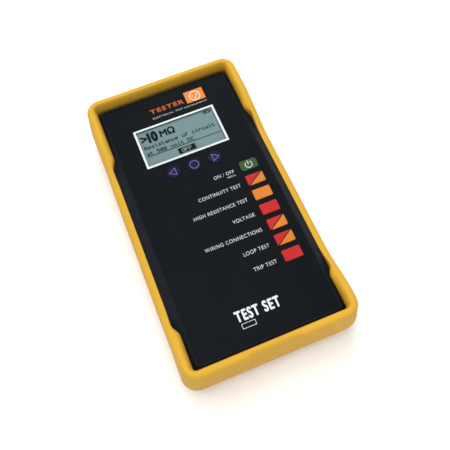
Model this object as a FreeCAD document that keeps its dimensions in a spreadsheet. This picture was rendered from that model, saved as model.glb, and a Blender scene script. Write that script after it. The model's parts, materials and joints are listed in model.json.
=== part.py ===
import FreeCAD, Part
import math
import os
import Sketcher
from FreeCAD import Placement, Rotation, Vector

# Handheld electrical installation tester in a rubber holster.
# The instrument lies on its back: +Z leaves the front panel, +Y points to the display end and the
# origin is on the surface that it rests on, under the middle of the panel. Sizes are in millimetres.

doc = FreeCAD.newDocument("installation_tester")
sheet = doc.addObject("Spreadsheet::Sheet", "Sizes")


class Size:
    """A length that carries its value and its formula in the sheet."""

    def __init__(self, value, formula):
        self.value = value
        self.formula = formula

    def join(self, other, sign, value):
        return Size(value, f"({self.formula} {sign} {as_size(other).formula})")

    def __add__(self, other):
        return self.join(other, "+", self.value + as_size(other).value)

    def __sub__(self, other):
        return self.join(other, "-", self.value - as_size(other).value)

    def __mul__(self, other):
        return self.join(other, "*", self.value * as_size(other).value)

    def __truediv__(self, other):
        return self.join(other, "/", self.value / as_size(other).value)

    def __neg__(self):
        return Size(-self.value, f"(0 - {self.formula})")


def as_size(number):
    return number if isinstance(number, Size) else Size(float(number), f"{float(number):g}")


class Sizes:
    """The driving dimensions, one attribute for each alias in the sheet."""

    def __init__(self, **lengths):
        for row, (alias, value) in enumerate(lengths.items(), start=1):
            sheet.set(f"A{row}", alias.replace("_", " "))
            sheet.set(f"B{row}", str(value))
            sheet.setAlias(f"B{row}", alias)
            setattr(self, alias, Size(float(value), f"Sizes.{alias}"))


D = Sizes(
    # Front panel and its bevel
    panel_level=34.0, panel_width=87.6, panel_length=182.8, bevel_depth=6.5,
    # Enclosure
    case_width=99.0, case_length=189.0, case_corner=8.0, panel_corner=2.5, panel_round=0.9,
    ceiling_corner=2.0, case_wall=2.4, case_back=3.0, case_back_round=4.0, parting_level=20.0, case_gap=0.1,
    post_sink=0.2, gasket_height=0.8, gasket_width=1.0, gasket_play=0.02,
    # Holster
    belly_width=109.8, belly_length=199.2, belly_level=17.0, rim_level=40.0, rim_width=104.4,
    rim_length=197.6, foot_width=102.0, foot_length=191.4, top_corner=9.0, bottom_corner=9.5,
    lip_width=92.4, lip_length=187.9, lip_level=31.6, mouth_width=92.6, mouth_length=188.1,
    lip_corner=1.6, rim_outer_round=2.4, rim_inner_round=1.8, side_rim_level=28.0,
    grip_top=38.0, grip_top_ramp=30.0, grip_bottom=52.0, grip_bottom_ramp=30.0, grip_round=6.0,
    lip_break_width=98.4, lip_break_length=118.0, lip_break_y=-3.0, lip_break_corner=3.0,
    window_width=74.0, window_length=172.0, window_corner=6.0,
    thumb_notch_width=30.0, thumb_notch_depth=1.0, thumb_notch_drop=9.0, thumb_notch_corner=2.0,
    socket_window_width=62.0, socket_window_height=16.0, socket_window_corner=3.0,
    # Printed overlay and display
    overlay_width=86.0, overlay_length=181.0, overlay_corner=1.8, overlay_thickness=0.3,
    overlay_gap=0.15, display_x=-0.6, display_y=52.9, view_width=53.2, view_length=27.4,
    view_corner=0.4, lens_width=56.8, lens_length=31.2, lens_thickness=0.8, lens_corner=0.4,
    lens_bevel=0.2, lens_gap=0.1, glue_gap=0.2, glass_width=56.6, glass_length=31.0,
    glass_thickness=2.0, frame_width=61.4, frame_length=36.2, frame_wall=0.6, frame_corner=1.0,
    frame_play=0.4,
    # Keys
    key_width=11.5, key_length=7.3, key_corner=0.8, power_corner=1.8, key_pitch=10.99, key_x=31.69,
    power_key_y=15.46, cursor_x=14.0, cursor_y=29.0, cursor_radius=4.5, key_proud=0.5,
    key_round=0.25, key_gap=0.15, flange_over=0.75, flange_thickness=0.8, flange_corner=1.0,
    flange_gap=0.1, stem_radius=1.5, stem_depth=2.0, switch_side=6.0,
    switch_height=3.2, switch_bore=1.7, switch_bore_depth=1.8,
    # Boards and fasteners
    board_level=25.0, board_thickness=1.6, board_width=82.0, board_length=158.0, board_corner=2.0,
    case_screw_x=40.0, case_screw_y=84.0, case_boss=4.3, screw_radius=1.45, screw_hole=1.5,
    screw_clear=1.65, head_radius=2.9, head_height=2.0, head_pocket=3.2, counterbore=4.0,
    case_screw_length=20.0, board_screw_x=37.0, board_boss=2.8, board_head_radius=2.6,
    board_head_height=1.8, board_screw_length=7.0,
    # Parts soldered to the main board
    relay_width=15.4, relay_length=19.2, relay_height=15.2, relay_x=-11.0, relay_y=20.0,
    relay_pitch=19.0, core_side=20.0, core_height=14.5, winding_radius=6.2, winding_length=25.0,
    transformer_x=26.0, transformer_y=17.0, capacitor_radius=5.0, capacitor_height=16.0,
    capacitor_x=-28.0, capacitor_y=47.0, capacitor_pitch=12.0, resistor_side=9.0,
    resistor_length=25.0, resistor_x=26.0, resistor_y=50.0, resistor_pitch=12.0,
    arrester_radius=5.5, arrester_length=4.5, arrester_x=4.0, arrester_y=54.0, buzzer_radius=6.0,
    buzzer_height=8.0, buzzer_x=-8.0, buzzer_y=48.0, fuse_radius=2.4, fuse_cap_radius=2.6,
    fuse_length=20.0, fuse_cap_length=5.0, fuse_drop=5.0, fuse_y=64.0, clip_length=4.0,
    clip_width=6.6, clip_height=7.0, clip_x=7.5, clip_room=2.65, chip_side=14.0,
    chip_height=1.5, chip_x=-14.0, chip_y=-6.0,
    # Battery bay and its door
    cell_radius=7.1, cell_length=49.2, cell_pitch=14.6, nub_radius=2.7, nub_height=1.2,
    bay_width=59.0, bay_top=-16.0, bay_length=56.0, bay_ceiling=21.0, bay_wall=1.5,
    plate_width=10.0, plate_height=11.0, plate_thickness=0.5, plate_gap=0.05, spring_foot=4.2,
    spring_tip=2.6, spring_length=2.7, door_width=63.0, door_length=76.0, door_y=-44.0,
    door_thickness=1.4, door_corner=2.0, door_gap=0.2, door_play=0.02, door_pad_play=0.5,
    door_pad_sink=0.1, door_screw_x=20.0, door_screw_y=33.5, door_post=7.0, door_head_radius=2.7,
    door_head_height=0.75, door_head_seat=3.0, door_head_sink=0.8, door_screw_length=7.0,
    # Test lead sockets
    socket_pitch=19.0, socket_level=12.5, shroud_radius=6.5, shroud_bore=4.3, shroud_length=25.0,
    shroud_floor=2.0, tail_hole=1.55, tail_radius=1.5, tail_length=6.0, contact_outer=2.8,
    contact_bore=2.0, contact_bore_length=20.0, contact_recess=1.0, socket_proud=0.5,
    strap_width=5.0, strap_thickness=0.8, strap_below=3.0, strap_back=2.6,
)

PAST = 1.0  # how far a cutting tool runs past the face that it enters or leaves by
KEY_COUNT = 7
CELL_COUNT = 4
ALONG_Y = Rotation(Vector(1, 0, 0), -90)
AGAINST_Y = Rotation(Vector(1, 0, 0), 90)
ALONG_X = Rotation(Vector(0, 1, 0), 90)

case_end = D.case_length / 2
bevel_start = D.panel_level - D.bevel_depth
lip_break_level = bevel_start + D.case_gap * 2
panel_under = D.panel_level - D.case_wall
board_top = D.board_level + D.board_thickness
overlay_under = D.panel_level - D.overlay_thickness
lens_under = overlay_under - D.lens_thickness
glass_under = lens_under - D.lens_gap - D.glass_thickness
frame_top = panel_under - D.glue_gap
stem_level = panel_under - D.flange_gap - D.flange_thickness - D.stem_depth
fuse_level = D.board_level - D.fuse_drop
cell_level = D.case_back + D.case_wall + D.glue_gap + D.cell_radius
bay_y = D.bay_top - D.bay_length / 2
shroud_back = case_end + D.socket_proud - D.shroud_length


# ---------------------------------------------------------------- helpers

def bind(item, **lengths):
    """Sets each property from its formula in the sheet."""
    for name, length in lengths.items():
        item.setExpression(name, as_size(length).formula)


def body(label):
    item = doc.addObject("PartDesign::Body", label)
    item.Label = label
    return item


def sketch(owner, level=0.0, x=0.0, y=0.0, plane="XY_Plane"):
    """An empty sketch on one of the body's origin planes, moved by x, y and level in its own axes."""
    item = owner.newObject("Sketcher::SketchObject", "Sketch")
    support = next(part for part in owner.Origin.OriginFeatures if part.Role == plane)
    item.AttachmentSupport = [(support, "")]
    item.MapMode = "FlatFace"
    for axis, offset in zip("xyz", (x, y, level)):
        item.setExpression(f".AttachmentOffset.Base.{axis}", as_size(offset).formula)
    return item


def constrain(item, kind, *places, length):
    index = item.addConstraint(Sketcher.Constraint(kind, *places, as_size(length).value))
    item.setExpression(f"Constraints[{index}]", as_size(length).formula)


def add_circle(item, radius, x=0.0, y=0.0):
    centre = Vector(as_size(x).value, as_size(y).value, 0)
    index = item.addGeometry(Part.Circle(centre, Vector(0, 0, 1), as_size(radius).value))
    constrain(item, "Radius", index, length=radius)
    if as_size(x).value == 0 and as_size(y).value == 0:
        item.addConstraint(Sketcher.Constraint("Coincident", index, 3, -1, 1))
        return
    constrain(item, "DistanceX", -1, 1, index, 3, length=x)
    constrain(item, "DistanceY", -1, 1, index, 3, length=y)


def add_box(item, width, length, top_corner=0.0, bottom_corner=None):
    """A centred rectangle, with its corners rounded where radii are given."""
    half_x, half_y = width / 2, length / 2
    x, y = half_x.value, half_y.value
    high = as_size(top_corner)
    low = high if bottom_corner is None else as_size(bottom_corner)
    first = item.GeometryCount
    p, q = high.value, low.value
    runs = [((-x + q, -y), (x - q, -y)), ((x, -y + q), (x, y - p)),
            ((x - p, y), (-x + p, y)), ((-x, y - p), (-x, -y + q))]
    for start, end in runs:
        item.addGeometry(Part.LineSegment(Vector(*start, 0), Vector(*end, 0)))
    if p > 0:
        add_corners(item, first, x, y, high, low)
    else:
        for side in range(4):
            following = first + (side + 1) % 4
            item.addConstraint(Sketcher.Constraint("Coincident", first + side, 2, following, 1))
    for side, kind in enumerate(("Horizontal", "Vertical", "Horizontal", "Vertical")):
        item.addConstraint(Sketcher.Constraint(kind, first + side))
    constrain(item, "DistanceY", first, 1, -1, 1, length=half_y)
    constrain(item, "DistanceX", -1, 1, first + 1, 1, length=half_x)
    constrain(item, "DistanceY", -1, 1, first + 2, 1, length=half_y)
    constrain(item, "DistanceX", first + 3, 1, -1, 1, length=half_x)


def add_corners(item, first, x, y, high, low):
    """Four tangent arcs that join the sides of a rectangle."""
    corners = [(1, -1, low), (1, 1, high), (-1, 1, high), (-1, -1, low)]
    for turn, (side_x, side_y, radius) in enumerate(corners):
        centre = Vector(side_x * (x - radius.value), side_y * (y - radius.value), 0)
        ring = Part.Circle(centre, Vector(0, 0, 1), radius.value)
        start = math.pi * (turn - 1) / 2
        arc = item.addGeometry(Part.ArcOfCircle(ring, start, start + math.pi / 2))
        item.addConstraint(Sketcher.Constraint("Tangent", first + turn, 2, arc, 1))
        item.addConstraint(Sketcher.Constraint("Tangent", arc, 2, first + (turn + 1) % 4, 1))
        constrain(item, "Radius", arc, length=radius)


def extrude(owner, profile, depth, kind="Pad", down=False, both=False):
    """A pad goes up from its sketch and a pocket cuts up from it, unless down is set."""
    item = owner.newObject(f"PartDesign::{kind}", kind)
    item.Profile = profile
    item.Reversed = down if kind == "Pad" else not down
    item.SideType = "Symmetric" if both else "One side"
    bind(item, Length=depth)
    return item


def cut(owner, profile, depth, down=False, both=False):
    return extrude(owner, profile, depth, "Pocket", down, both)


def loft(owner, lower, upper, kind="AdditiveLoft"):
    item = owner.newObject(f"PartDesign::{kind}", kind)
    item.Profile = lower
    item.Sections = [upper]
    item.Ruled = True
    return item


def edges(item, wanted):
    """Names of the edges whose middle point passes the test."""
    doc.recompute()
    names = []
    for number, edge in enumerate(item.Shape.Edges, start=1):
        middle = edge.valueAt((edge.FirstParameter + edge.LastParameter) / 2)
        if wanted(middle, edge):
            names.append(f"Edge{number}")
    return names


def soften(owner, base, radius, wanted, kind="Fillet"):
    names = edges(base, wanted)
    item = owner.newObject(f"PartDesign::{kind}", kind)
    item.Base = (base, names)
    bind(item, **{"Radius" if kind == "Fillet" else "Size": radius})
    return item


def near(value, length, slack=0.05):
    return abs(value - as_size(length).value) < slack


def place(item, x, y, z, turn=None):
    if turn is not None:
        item.Placement = Placement(Vector(), turn)
    for axis, offset in zip("xyz", (x, y, z)):
        item.setExpression(f".Placement.Base.{axis}", as_size(offset).formula)
    return item


def block(label, width, length, height, x=0.0, y=0.0, z=0.0):
    """A box centred on x and y, standing on z."""
    item = doc.addObject("Part::Box", label)
    item.Label = label
    bind(item, Length=width, Width=length, Height=height)
    return place(item, as_size(x) - as_size(width) / 2, as_size(y) - as_size(length) / 2, z)


def rod(label, radius, height, x=0.0, y=0.0, z=0.0, turn=None):
    """A cylinder that starts at x, y, z and runs up, or along Y or X."""
    item = doc.addObject("Part::Cylinder", label)
    item.Label = label
    bind(item, Radius=radius, Height=height)
    return place(item, x, y, z, turn)


def gather(label, members):
    """Separate solids that share one node."""
    item = doc.addObject("Part::Compound", label)
    item.Label = label
    item.Links = members
    return item


def fuse(label, members):
    item = doc.addObject("Part::MultiFuse", label)
    item.Label = label
    item.Shapes = members
    return item


def subtract(label, base, tool):
    item = doc.addObject("Part::Cut", label)
    item.Label = label
    item.Base = base
    item.Tool = tool
    return item


# ---------------------------------------------------------------- holster

def holster_walls(item):
    """The outer form: a foot that swells to the belly and leans in to the rim."""
    foot = sketch(item, 0.0)
    add_box(foot, D.foot_width, D.foot_length, D.top_corner, D.bottom_corner)
    belly = sketch(item, D.belly_level)
    add_box(belly, D.belly_width, D.belly_length, D.top_corner, D.bottom_corner)
    rim = sketch(item, D.rim_level)
    add_box(rim, D.rim_width, D.rim_length, D.top_corner, D.bottom_corner)
    loft(item, foot, belly)
    return loft(item, belly, rim)


def holster_cavity(item):
    """Room for the enclosure: its sides, its bevel under the lip, and the mouth above it."""
    width = D.case_width + D.case_gap * 2
    length = D.case_length + D.case_gap * 2
    floor = sketch(item, D.case_back)
    add_box(floor, width, length, D.case_corner)
    cut(item, floor, bevel_start - D.case_back)
    shoulder = sketch(item, bevel_start)
    add_box(shoulder, width, length, D.case_corner)
    lip = sketch(item, D.lip_level)
    add_box(lip, D.lip_width, D.lip_length, D.lip_corner)
    loft(item, shoulder, lip, "SubtractiveLoft")
    mouth = sketch(item, D.rim_level)
    add_box(mouth, D.mouth_width, D.mouth_length, D.lip_corner)
    return loft(item, lip, mouth, "SubtractiveLoft")


def grip_profile(item):
    """The outline, seen from the side, that lowers the rim where the hand holds the instrument."""
    top = D.rim_level + PAST
    profile = sketch(item, plane="YZ_Plane")
    radius = D.grip_round
    ends = [(-1, D.grip_bottom, D.grip_bottom_ramp), (1, D.grip_top, D.grip_top_ramp)]
    corners = []
    for side, flat, ramp in ends:
        flat_y = flat * side
        corner = Vector(((flat + ramp) * side).value, top.value, 0)
        centre = Vector(flat_y.value, (D.side_rim_level + radius).value, 0)
        away = corner - centre
        lean = math.acos(radius.value / away.Length)
        touch = math.atan2(away.y, away.x) - side * lean
        low = -0.5 * math.pi
        start, end = (low, touch) if side > 0 else (touch % (2 * math.pi), low % (2 * math.pi))
        ring = Part.Circle(centre, Vector(0, 0, 1), radius.value)
        arc = profile.addGeometry(Part.ArcOfCircle(ring, start, end))
        foot = centre + Vector(math.cos(touch), math.sin(touch), 0) * radius.value
        slope = profile.addGeometry(Part.LineSegment(foot, corner))
        profile.addConstraint(Sketcher.Constraint("Tangent", slope, 1, arc, 2 if side > 0 else 1))
        constrain(profile, "Radius", arc, length=radius)
        constrain(profile, "DistanceX", -1, 1, arc, 3, length=flat_y)
        constrain(profile, "DistanceY", -1, 1, arc, 3, length=D.side_rim_level + radius)
        constrain(profile, "DistanceX", -1, 1, slope, 2, length=(flat + ramp) * side)
        constrain(profile, "DistanceY", -1, 1, slope, 2, length=top)
        corners.append((arc, slope, centre - Vector(0, radius.value, 0), corner))
    (left_arc, left_slope, left_foot, left_top), (right_arc, right_slope, right_foot, right_top) = corners
    floor = profile.addGeometry(Part.LineSegment(left_foot, right_foot))
    profile.addConstraint(Sketcher.Constraint("Tangent", left_arc, 2, floor, 1))
    profile.addConstraint(Sketcher.Constraint("Tangent", floor, 2, right_arc, 1))
    lid = profile.addGeometry(Part.LineSegment(right_top, left_top))
    profile.addConstraint(Sketcher.Constraint("Coincident", right_slope, 2, lid, 1))
    profile.addConstraint(Sketcher.Constraint("Coincident", lid, 2, left_slope, 2))
    return profile


def in_mouth(point):
    """Whether a point is on or inside the outline of the holster's mouth."""
    slack = 0.1
    return (abs(point.x) < D.mouth_width.value / 2 + slack
            and abs(point.y) < D.mouth_length.value / 2 + slack)


def holster():
    """Rubber holster, open at the front and the back: its rim is low along both sides, where the
    lip over the enclosure's bevel stops too."""
    item = body("holster")
    holster_walls(item)
    hollow = holster_cavity(item)
    outer = soften(item, hollow, D.rim_outer_round,
                   lambda point, edge: near(point.z, D.rim_level) and not in_mouth(point))
    soften(item, outer, D.rim_inner_round,
           lambda point, edge: near(point.z, D.rim_level) and in_mouth(point))
    cut(item, grip_profile(item), D.belly_width + PAST * 2, both=True)
    lip_break = sketch(item, lip_break_level, y=D.lip_break_y)
    add_box(lip_break, D.lip_break_width, D.lip_break_length, D.lip_break_corner)
    cut(item, lip_break, D.rim_level - lip_break_level + PAST)
    notch = sketch(item, D.rim_length / 2 - D.thumb_notch_depth, y=D.rim_level, plane="XZ_Plane")
    add_box(notch, D.thumb_notch_width, D.thumb_notch_drop * 2, D.thumb_notch_corner)
    cut(item, notch, D.belly_length / 2 - D.rim_length / 2 + D.thumb_notch_depth + PAST)
    window = sketch(item, 0.0)
    add_box(window, D.window_width, D.window_length, D.window_corner)
    cut(item, window, D.case_back + PAST)
    sockets = sketch(item, -D.belly_length / 2 - PAST, y=D.socket_level, plane="XZ_Plane")
    add_box(sockets, D.socket_window_width, D.socket_window_height, D.socket_window_corner)
    cut(item, sockets, D.belly_length / 2 - case_end + PAST * 2)
    return item


# ---------------------------------------------------------------- enclosure

def front_shell():
    """Upper half of the enclosure: bevelled panel, display opening and key holes."""
    item = body("front_shell")
    outline = sketch(item, D.parting_level)
    add_box(outline, D.case_width, D.case_length, D.case_corner)
    extrude(item, outline, bevel_start - D.parting_level)
    shoulder = sketch(item, bevel_start)
    add_box(shoulder, D.case_width, D.case_length, D.case_corner)
    panel = sketch(item, D.panel_level)
    add_box(panel, D.panel_width, D.panel_length, D.panel_corner)
    bevelled = loft(item, shoulder, panel)
    soften(item, bevelled, D.panel_round, lambda point, edge: near(point.z, D.panel_level))
    wall = D.case_wall * 2
    inside = sketch(item, D.parting_level)
    add_box(inside, D.case_width - wall, D.case_length - wall, D.case_corner - D.case_wall)
    cut(item, inside, bevel_start - D.parting_level)
    inner_shoulder = sketch(item, bevel_start)
    add_box(inner_shoulder, D.case_width - wall, D.case_length - wall, D.case_corner - D.case_wall)
    ceiling = sketch(item, panel_under)
    add_box(ceiling, D.panel_width - D.case_wall, D.panel_length - D.case_wall, D.ceiling_corner)
    loft(item, inner_shoulder, ceiling, "SubtractiveLoft")
    recess = sketch(item, D.panel_level)
    gap = D.overlay_gap * 2
    add_box(recess, D.overlay_width + gap, D.overlay_length + gap, D.overlay_corner)
    cut(item, recess, D.overlay_thickness, down=True)
    opening = sketch(item, D.panel_level, x=D.display_x, y=D.display_y)
    gap = D.lens_gap * 2
    add_box(opening, D.lens_width + gap, D.lens_length + gap, D.lens_corner + D.lens_gap)
    cut(item, opening, D.case_wall + PAST, down=True)
    key_holes(item, D.panel_level + PAST, D.case_wall + PAST * 2)
    case_posts(item)
    return item


def key_holes(item, level, depth):
    """Through holes for the seven keys in the column and the three round cursor keys."""
    gap = D.key_gap * 2
    for number in range(KEY_COUNT):
        hole = sketch(item, level, x=D.key_x, y=D.power_key_y - D.key_pitch * number)
        corner = D.power_corner if number == 0 else D.key_corner
        add_box(hole, D.key_width + gap, D.key_length + gap, corner + D.key_gap)
        cut(item, hole, depth, down=True)
    for side in (-1, 0, 1):
        hole = sketch(item, level, x=D.cursor_x * side, y=D.cursor_y)
        add_circle(hole, D.cursor_radius + D.key_gap)
        cut(item, hole, depth, down=True)


def case_places():
    return [(D.case_screw_x * side, D.case_screw_y * end) for side in (-1, 1) for end in (-1, 1)]


def board_places():
    """The main board's screws, clear of the key column."""
    top_share, foot_share = 0.45, -0.46
    left_shares = (top_share, 0.0, foot_share)
    right_shares = (top_share, 0.19, foot_share)
    left = [(-D.board_screw_x, D.board_length * share) for share in left_shares]
    right = [(D.board_screw_x, D.board_length * share) for share in right_shares]
    return left + right


def case_posts(item):
    """Screw posts inside the front shell, for the rear shell and for the main board."""
    for x, y in case_places():
        post = sketch(item, D.parting_level, x=x, y=y)
        add_circle(post, D.case_boss)
        add_circle(post, D.screw_hole)
        extrude(item, post, panel_under - D.parting_level + D.post_sink)
    for x, y in board_places():
        post = sketch(item, board_top, x=x, y=y)
        add_circle(post, D.board_boss)
        add_circle(post, D.screw_hole)
        extrude(item, post, panel_under - board_top + D.post_sink)


def rear_shell():
    """Lower half of the enclosure, with the battery bay, the posts and the socket holes."""
    item = body("rear_shell")
    outline = sketch(item, D.case_back)
    add_box(outline, D.case_width, D.case_length, D.case_corner)
    tub = extrude(item, outline, D.parting_level - D.case_back)
    soften(item, tub, D.case_back_round, lambda point, edge: near(point.z, D.case_back))
    wall = D.case_wall * 2
    inside = sketch(item, D.case_back + D.case_wall)
    add_box(inside, D.case_width - wall, D.case_length - wall, D.case_corner - D.case_wall)
    cut(item, inside, D.parting_level)
    bay = sketch(item, D.case_back + D.case_wall, y=bay_y)
    add_box(bay, D.bay_width + D.bay_wall * 2, D.bay_length + D.bay_wall * 2)
    extrude(item, bay, D.bay_ceiling + D.bay_wall - D.case_back - D.case_wall)
    hollow = sketch(item, D.case_back, y=bay_y)
    add_box(hollow, D.bay_width, D.bay_length)
    cut(item, hollow, D.bay_ceiling - D.case_back)
    recess = sketch(item, D.case_back, y=D.door_y)
    gap = D.door_gap * 2
    add_box(recess, D.door_width + gap, D.door_length + gap, D.door_corner + D.door_gap)
    cut(item, recess, D.door_thickness)
    rear_posts(item)
    gasket = sketch(item, D.parting_level)
    gasket_profile(gasket, D.case_gap)
    cut(item, gasket, D.gasket_height, down=True)
    for side in (-1, 0, 1):
        hole = sketch(item, -case_end - PAST, x=D.socket_pitch * side, y=D.socket_level, plane="XZ_Plane")
        add_circle(hole, D.shroud_radius + D.lens_gap)
        cut(item, hole, D.case_wall + PAST * 2)
    return item


def gasket_profile(profile, clearance):
    """A thin ring along the middle of the enclosure's wall."""
    spread = as_size(clearance) * 2 + D.gasket_width
    across = D.case_width - D.case_wall
    along = D.case_length - D.case_wall
    corner = D.case_corner - D.case_wall / 2
    add_box(profile, across + spread, along + spread, corner + spread / 2)
    add_box(profile, across - spread, along - spread, corner - spread / 2)


def rear_posts(item):
    """Countersunk posts for the four case screws and four short posts for the door's screws."""
    height = D.parting_level - D.case_back - D.case_wall
    for x, y in case_places():
        post = sketch(item, D.case_back + D.case_wall, x=x, y=y)
        add_circle(post, D.case_boss)
        extrude(item, post, height)
        for radius, depth in ((D.screw_clear, D.parting_level), (D.head_pocket, D.counterbore)):
            hole = sketch(item, D.case_back, x=x, y=y)
            add_circle(hole, radius)
            cut(item, hole, depth)
    for x, y in door_places():
        post = sketch(item, D.case_back + D.case_wall, x=x, y=y)
        add_circle(post, D.case_boss)
        extrude(item, post, D.door_post)
        hole = sketch(item, D.case_back, x=x, y=y)
        add_circle(hole, D.screw_hole)
        cut(item, hole, D.door_post + PAST)


def door_places():
    return [(D.door_screw_x * side, D.door_y + D.door_screw_y * end)
            for side in (-1, 1) for end in (-1, 1)]


def case_gasket():
    item = body("case_gasket")
    ring = sketch(item, D.parting_level)
    gasket_profile(ring, 0.0)
    extrude(item, ring, D.gasket_height - D.gasket_play, down=True)
    return item


def case_screws():
    screws = []
    for number, (x, y) in enumerate(case_places()):
        head_level = D.case_back + D.counterbore - D.head_height
        head = rod(f"case_screw_head_{number}", D.head_radius, D.head_height, x, y, head_level)
        shank = rod(f"case_screw_shank_{number}", D.screw_radius, D.case_screw_length, x, y, head_level)
        screws.append(fuse(f"case_screw_{number}", [head, shank]))
    return gather("case_screws", screws)


# ---------------------------------------------------------------- panel and display

def keypad_overlay():
    """Printed film over the whole panel, cut out for the display and the keys."""
    item = body("keypad_overlay")
    film = sketch(item, overlay_under)
    add_box(film, D.overlay_width, D.overlay_length, D.overlay_corner)
    extrude(item, film, D.overlay_thickness)
    view = sketch(item, D.panel_level, x=D.display_x, y=D.display_y)
    add_box(view, D.view_width, D.view_length, D.view_corner)
    cut(item, view, D.overlay_thickness + PAST, down=True)
    key_holes(item, D.panel_level + PAST, D.overlay_thickness + PAST * 2)
    return item


def display_window():
    item = body("display_window")
    pane = sketch(item, overlay_under, x=D.display_x, y=D.display_y)
    add_box(pane, D.lens_width, D.lens_length, D.lens_corner)
    plate = extrude(item, pane, D.lens_thickness, down=True)
    soften(item, plate, D.lens_bevel, lambda point, edge: near(point.z, overlay_under), "Chamfer")
    return item


def display_frame():
    """Folded metal frame that holds the display module to the main board."""
    item = body("display_frame")
    height = frame_top - board_top
    outline = sketch(item, board_top, x=D.display_x, y=D.display_y)
    add_box(outline, D.frame_width, D.frame_length, D.frame_corner)
    extrude(item, outline, height)
    inside = sketch(item, board_top, x=D.display_x, y=D.display_y)
    add_box(inside, D.frame_width - D.frame_wall * 2, D.frame_length - D.frame_wall * 2)
    cut(item, inside, height - D.frame_wall)
    view = sketch(item, frame_top + PAST, x=D.display_x, y=D.display_y)
    add_box(view, D.glass_width + D.frame_play * 2, D.glass_length + D.frame_play * 2)
    cut(item, view, D.frame_wall + PAST * 2, down=True)
    return item


def display_glass():
    """Liquid crystal cell, which reaches through the frame to just under the window."""
    return block("display_glass", D.glass_width, D.glass_length, D.glass_thickness,
                 D.display_x, D.display_y, glass_under)


def display_backlight():
    """Light guide that fills the frame under the liquid crystal cell."""
    inset = D.frame_wall * 2 + D.frame_play
    return block("display_backlight", D.frame_width - inset, D.frame_length - inset,
                 frame_top - D.frame_wall - D.lens_gap - board_top, D.display_x, D.display_y, board_top)


# ---------------------------------------------------------------- keys

def key_body(label, x, y, outline, flange):
    """A cap through the panel, a flange under it and a stem into the switch."""
    item = body(label)
    top_level = D.panel_level + D.key_proud
    cap_level = panel_under - D.flange_gap * 2
    cap = sketch(item, cap_level, x=x, y=y)
    outline(cap)
    top = extrude(item, cap, top_level - cap_level)
    soften(item, top, D.key_round, lambda point, edge: near(point.z, top_level))
    collar = sketch(item, panel_under - D.flange_gap, x=x, y=y)
    flange(collar)
    extrude(item, collar, D.flange_thickness, down=True)
    stem = sketch(item, stem_level, x=x, y=y)
    add_circle(stem, D.stem_radius)
    extrude(item, stem, D.stem_depth)
    return item


def column_key(label, number):
    corner = D.power_corner if number == 0 else D.key_corner
    over = D.flange_over * 2
    return key_body(label, D.key_x, D.power_key_y - D.key_pitch * number,
                    lambda profile: add_box(profile, D.key_width, D.key_length, corner),
                    lambda profile: add_box(profile, D.key_width + over, D.key_length + over,
                                            D.flange_corner))


def cursor_key(label, side):
    return key_body(label, D.cursor_x * side, D.cursor_y,
                    lambda profile: add_circle(profile, D.cursor_radius),
                    lambda profile: add_circle(profile, D.cursor_radius + D.flange_over))


def key_places():
    column = [(D.key_x, D.power_key_y - D.key_pitch * number) for number in range(KEY_COUNT)]
    return column + [(D.cursor_x * side, D.cursor_y) for side in (-1, 0, 1)]


def key_switches():
    """Ten tactile switches on the main board, each with a bore for a key's stem."""
    switches = []
    for number, (x, y) in enumerate(key_places()):
        base = block(f"switch_base_{number}", D.switch_side, D.switch_side, D.switch_height,
                     x, y, board_top)
        bore = rod(f"switch_bore_{number}", D.switch_bore, D.switch_bore_depth + PAST, x, y,
                   board_top + D.switch_height - D.switch_bore_depth)
        switches.append(subtract(f"switch_{number}", base, bore))
    return gather("key_switches", switches)


# ---------------------------------------------------------------- main board

def main_board():
    item = body("main_board")
    outline = sketch(item, D.board_level)
    add_box(outline, D.board_width, D.board_length, D.board_corner)
    extrude(item, outline, D.board_thickness)
    for x, y in board_places():
        hole = sketch(item, D.board_level - PAST, x=x, y=y)
        add_circle(hole, D.screw_clear)
        cut(item, hole, D.board_thickness + PAST * 2)
    return item


def board_screws():
    screws = []
    level = D.board_level - D.board_head_height
    for number, (x, y) in enumerate(board_places()):
        head = rod(f"board_screw_head_{number}", D.board_head_radius, D.board_head_height, x, y, level)
        shank = rod(f"board_screw_shank_{number}", D.screw_radius, D.board_screw_length, x, y, level)
        screws.append(fuse(f"board_screw_{number}", [head, shank]))
    return gather("board_screws", screws)


def hang(label, width, length, height, x, y):
    """A component soldered to the underside of the main board."""
    return block(label, width, length, height, x, y, D.board_level - height)


def relays():
    """Three relays in a row, which switch the circuit under test."""
    return gather("relays", [hang(f"relay_{place + 1}", D.relay_width, D.relay_length, D.relay_height,
                                  D.relay_x + D.relay_pitch * place, D.relay_y) for place in (-1, 0, 1)])


def transformer():
    """Step-up transformer for the insulation test: a wound bobbin inside a ferrite core."""
    core = hang("transformer_core", D.core_side, D.core_side, D.core_height,
                D.transformer_x, D.transformer_y)
    winding = rod("transformer_winding", D.winding_radius, D.winding_length, D.transformer_x,
                  D.transformer_y - D.winding_length / 2, D.board_level - D.core_height / 2, ALONG_Y)
    return fuse("transformer", [core, winding])


def capacitors():
    return gather("capacitors", [rod(f"capacitor_{number}", D.capacitor_radius, D.capacitor_height,
                                     D.capacitor_x + D.capacitor_pitch * (number - 0.5),
                                     D.capacitor_y, D.board_level - D.capacitor_height)
                                 for number in range(2)])


def load_resistors():
    return gather("load_resistors", [hang(f"load_resistor_{number}", D.resistor_side,
                                          D.resistor_length, D.resistor_side,
                                          D.resistor_x + D.resistor_pitch * (number - 0.5), D.resistor_y)
                                     for number in range(2)])


def surge_arrester():
    return rod("surge_arrester", D.arrester_radius, D.arrester_length, D.arrester_x, D.arrester_y,
               D.board_level - D.arrester_radius, ALONG_Y)


def buzzer():
    return rod("buzzer", D.buzzer_radius, D.buzzer_height, D.buzzer_x, D.buzzer_y,
               D.board_level - D.buzzer_height)


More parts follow.
